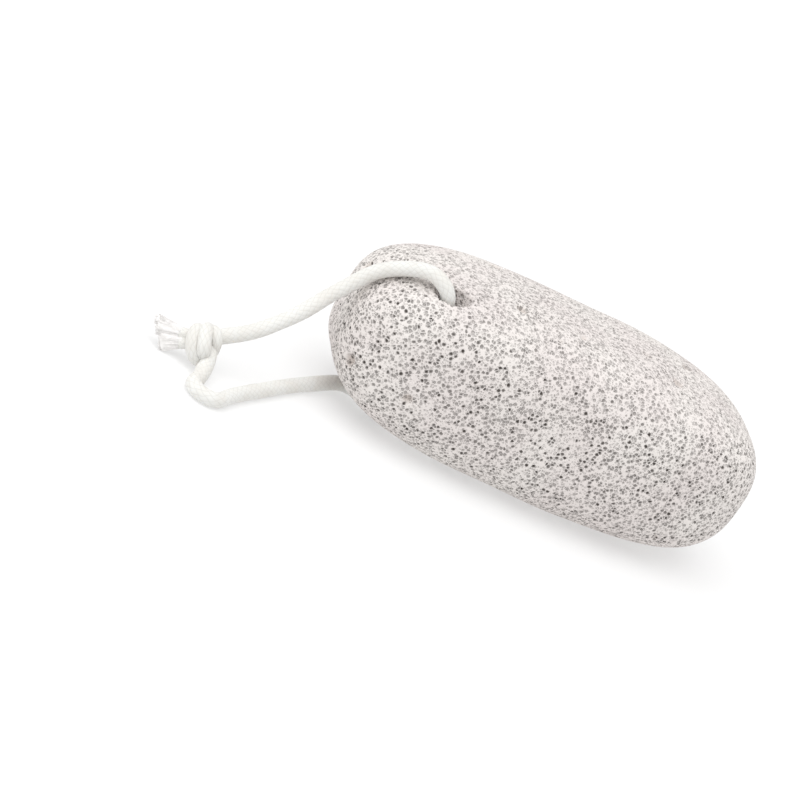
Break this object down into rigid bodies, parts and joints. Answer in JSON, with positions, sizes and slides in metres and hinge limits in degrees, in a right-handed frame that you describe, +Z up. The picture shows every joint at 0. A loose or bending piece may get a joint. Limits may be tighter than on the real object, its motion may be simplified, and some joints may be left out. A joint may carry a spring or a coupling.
{
  "type": "pumice stone",
  "caption": "Oval bath pumice stone with a pitted surface, bored through near one end and threaded with a knotted loop of white cord",
  "frame": {"origin": "on the surface the stone lies on, under the middle of the stone; the cord is not counted", "axes": "+X along the stone's length, away from the end with the hole; +Y across its width; +Z up"},
  "size_m": [0.1345, 0.0562, 0.0387],
  "materials": {
    "stone": "dry, finely porous, pale warm grey with darker pores",
    "cord": "white braided cord, frayed at its two ends"
  },
  "bodies": {
    "root": {"pumice_stone": "stone", "cord": "cord", "knot": "cord"}
  },
  "joints": []
}
